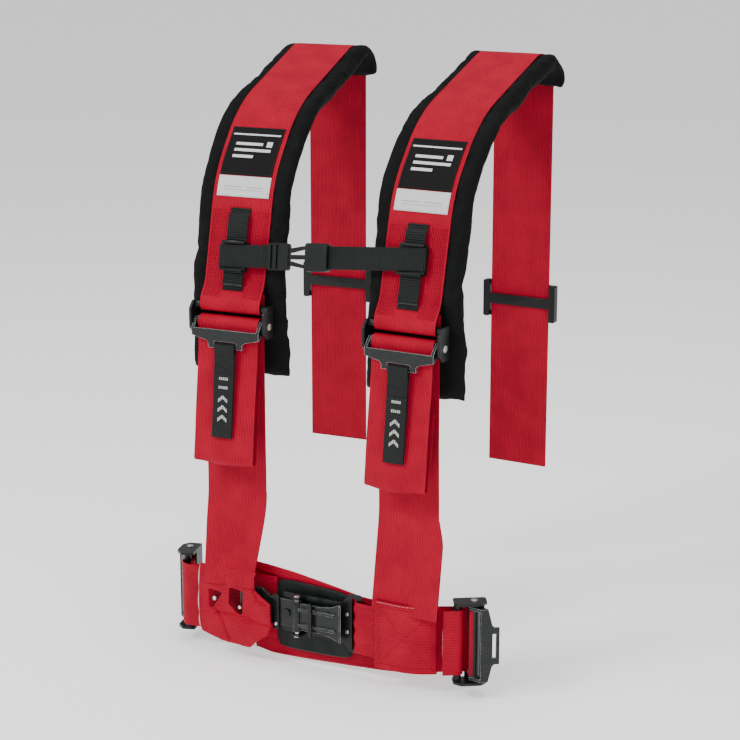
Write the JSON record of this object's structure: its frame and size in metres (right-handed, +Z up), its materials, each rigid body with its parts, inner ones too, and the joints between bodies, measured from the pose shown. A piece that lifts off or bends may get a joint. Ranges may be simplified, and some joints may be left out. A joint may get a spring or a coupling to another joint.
{
  "type": "racing harness",
  "caption": "Four-point racing harness: padded shoulder straps with lever adjusters and pull tabs, a chest strap with a side-release clip, and a lap belt closed by a latch-and-link buckle.",
  "frame": {"origin": "midway between the two shoulder tails, at the height of their three-bar slides, where the tails leave the harness bar", "axes": "+X to the right of someone facing the harness, -Y out of its front, +Z up"},
  "size_m": [0.4279, 0.3078, 0.6865],
  "materials": {
    "red_webbing": "woven polyester webbing",
    "pad_cover": "woven nylon cover",
    "foam": "closed-cell foam",
    "patch_black": "woven patch",
    "tag_white": "woven tag",
    "black_webbing": "ribbed webbing",
    "moulded_black": "moulded acetal",
    "dark_steel": "black powder coat",
    "lever_steel": "black coat worn bright along edges",
    "bright_steel": "plated steel",
    "link_steel": "stamped steel",
    "vinyl": "grained vinyl"
  },
  "bodies": {
    "straps": {"shoulder_webbing_left": "red_webbing", "pad_cover_left": "pad_cover", "pad_foam_left": "foam", "label_patch_left": "patch_black", "label_tag_left": "tag_white", "chest_rail_left": "black_webbing", "shoulder_adjuster_left_frame": "dark_steel", "shoulder_adjuster_left_pin": "bright_steel", "shoulder_adjuster_left_spring": "bright_steel", "lower_webbing_left": "red_webbing", "sewn_end_left": "red_webbing", "lap_adjuster_left_frame": "dark_steel", "lap_adjuster_left_pin": "bright_steel", "lap_adjuster_left_spring": "bright_steel", "lap_tail_left": "red_webbing", "lap_webbing_left": "red_webbing", "junction_left": "red_webbing", "shoulder_webbing_right": "red_webbing", "pad_cover_right": "pad_cover", "pad_foam_right": "foam", "label_patch_right": "patch_black", "label_tag_right": "tag_white", "chest_rail_right": "black_webbing", "shoulder_adjuster_right_frame": "dark_steel", "shoulder_adjuster_right_pin": "bright_steel", "shoulder_adjuster_right_spring": "bright_steel", "lower_webbing_right": "red_webbing", "sewn_end_right": "red_webbing", "lap_adjuster_right_frame": "dark_steel", "lap_adjuster_right_pin": "bright_steel", "lap_adjuster_right_spring": "bright_steel", "lap_tail_right": "red_webbing", "lap_webbing_right": "red_webbing", "junction_right": "red_webbing", "backing_panel": "red_webbing", "buckle_pad": "vinyl", "latch_base": "dark_steel", "latch_pin": "bright_steel", "latch_spring": "bright_steel", "link_plate": "link_steel", "link_bar": "dark_steel", "buckle_rivets": "bright_steel"},
    "shoulder_lever_left": {"shoulder_adjuster_left_lever": "lever_steel"},
    "pull_tab_left": {"pull_tab_left": "black_webbing"},
    "lap_lever_left": {"lap_adjuster_left_lever": "lever_steel"},
    "tail_slide_left": {"tail_slide_left": "dark_steel"},
    "shoulder_lever_right": {"shoulder_adjuster_right_lever": "lever_steel"},
    "pull_tab_right": {"pull_tab_right": "black_webbing"},
    "lap_lever_right": {"lap_adjuster_right_lever": "lever_steel"},
    "tail_slide_right": {"tail_slide_right": "dark_steel"},
    "chest_strap": {"chest_slider_left": "moulded_black", "chest_slider_right": "moulded_black", "chest_strap_left": "black_webbing", "chest_strap_right": "black_webbing", "clip_male": "moulded_black", "clip_female": "moulded_black"},
    "clip_prong_upper": {"clip_prong_upper": "moulded_black"},
    "clip_prong_lower": {"clip_prong_lower": "moulded_black"},
    "latch_lever": {"latch_lever": "dark_steel", "latch_crossbar": "dark_steel"}
  },
  "joints": [
    {"name": "shoulder_lever_left", "type": "hinge", "parent": "straps", "child": "shoulder_lever_left", "pos_m": [-0.10985, -0.27368, 0.002], "axis": [-0.9988, -0.048, 0], "range_deg": [0, 40], "stiffness_Nm_per_rad": 0.08, "springref_deg": -20.05},
    {"name": "pull_tab_left", "type": "hinge", "parent": "shoulder_lever_left", "child": "pull_tab_left", "pos_m": [-0.10919, -0.28757, -0.02245], "axis": [-0.9988, -0.048, 0], "range_deg": [0, 80]},
    {"name": "lap_lever_left", "type": "hinge", "parent": "straps", "child": "lap_lever_left", "pos_m": [-0.19099, -0.2441, -0.332], "axis": [0, 0, 1], "range_deg": [0, 40], "stiffness_Nm_per_rad": 0.05, "springref_deg": -17.19},
    {"name": "tail_slide_left", "type": "slide", "parent": "straps", "child": "tail_slide_left", "axis": [0, 0, 1], "range_m": [-0.15, 0.2]},
    {"name": "shoulder_lever_right", "type": "hinge", "parent": "straps", "child": "shoulder_lever_right", "pos_m": [0.10985, -0.27368, 0.002], "axis": [-0.9988, 0.048, 0], "range_deg": [0, 40], "stiffness_Nm_per_rad": 0.08, "springref_deg": -20.05},
    {"name": "pull_tab_right", "type": "hinge", "parent": "shoulder_lever_right", "child": "pull_tab_right", "pos_m": [0.10919, -0.28757, -0.02245], "axis": [-0.9988, 0.048, 0], "range_deg": [0, 80]},
    {"name": "lap_lever_right", "type": "hinge", "parent": "straps", "child": "lap_lever_right", "pos_m": [0.1852, -0.25216, -0.332], "axis": [0, 0, -1], "range_deg": [0, 40], "stiffness_Nm_per_rad": 0.05, "springref_deg": -17.19},
    {"name": "tail_slide_right", "type": "slide", "parent": "straps", "child": "tail_slide_right", "axis": [0, 0, 1], "range_m": [-0.15, 0.2]},
    {"name": "chest_strap_height", "type": "slide", "parent": "straps", "child": "chest_strap", "axis": [0, 0.2315, 0.9728], "range_m": [-0.011, 0.011]},
    {"name": "clip_prong_upper", "type": "hinge", "parent": "chest_strap", "child": "clip_prong_upper", "pos_m": [-0.03642, -0.26373, 0.08936], "axis": [0, 0.9728, -0.2315], "range_deg": [0, 8], "stiffness_Nm_per_rad": 0.02},
    {"name": "clip_prong_lower", "type": "hinge", "parent": "chest_strap", "child": "clip_prong_lower", "pos_m": [-0.03541, -0.26706, 0.07538], "axis": [0, -0.9728, 0.2315], "range_deg": [0, 8], "stiffness_Nm_per_rad": 0.02},
    {"name": "latch_lever", "type": "hinge", "parent": "straps", "child": "latch_lever", "pos_m": [-0.024, -0.28, -0.33], "axis": [0, 0, -1], "range_deg": [0, 100]}
  ],
  "couplings": [
    {"joint": "clip_prong_lower", "follows": "clip_prong_upper", "ratio": 1}
  ]
}
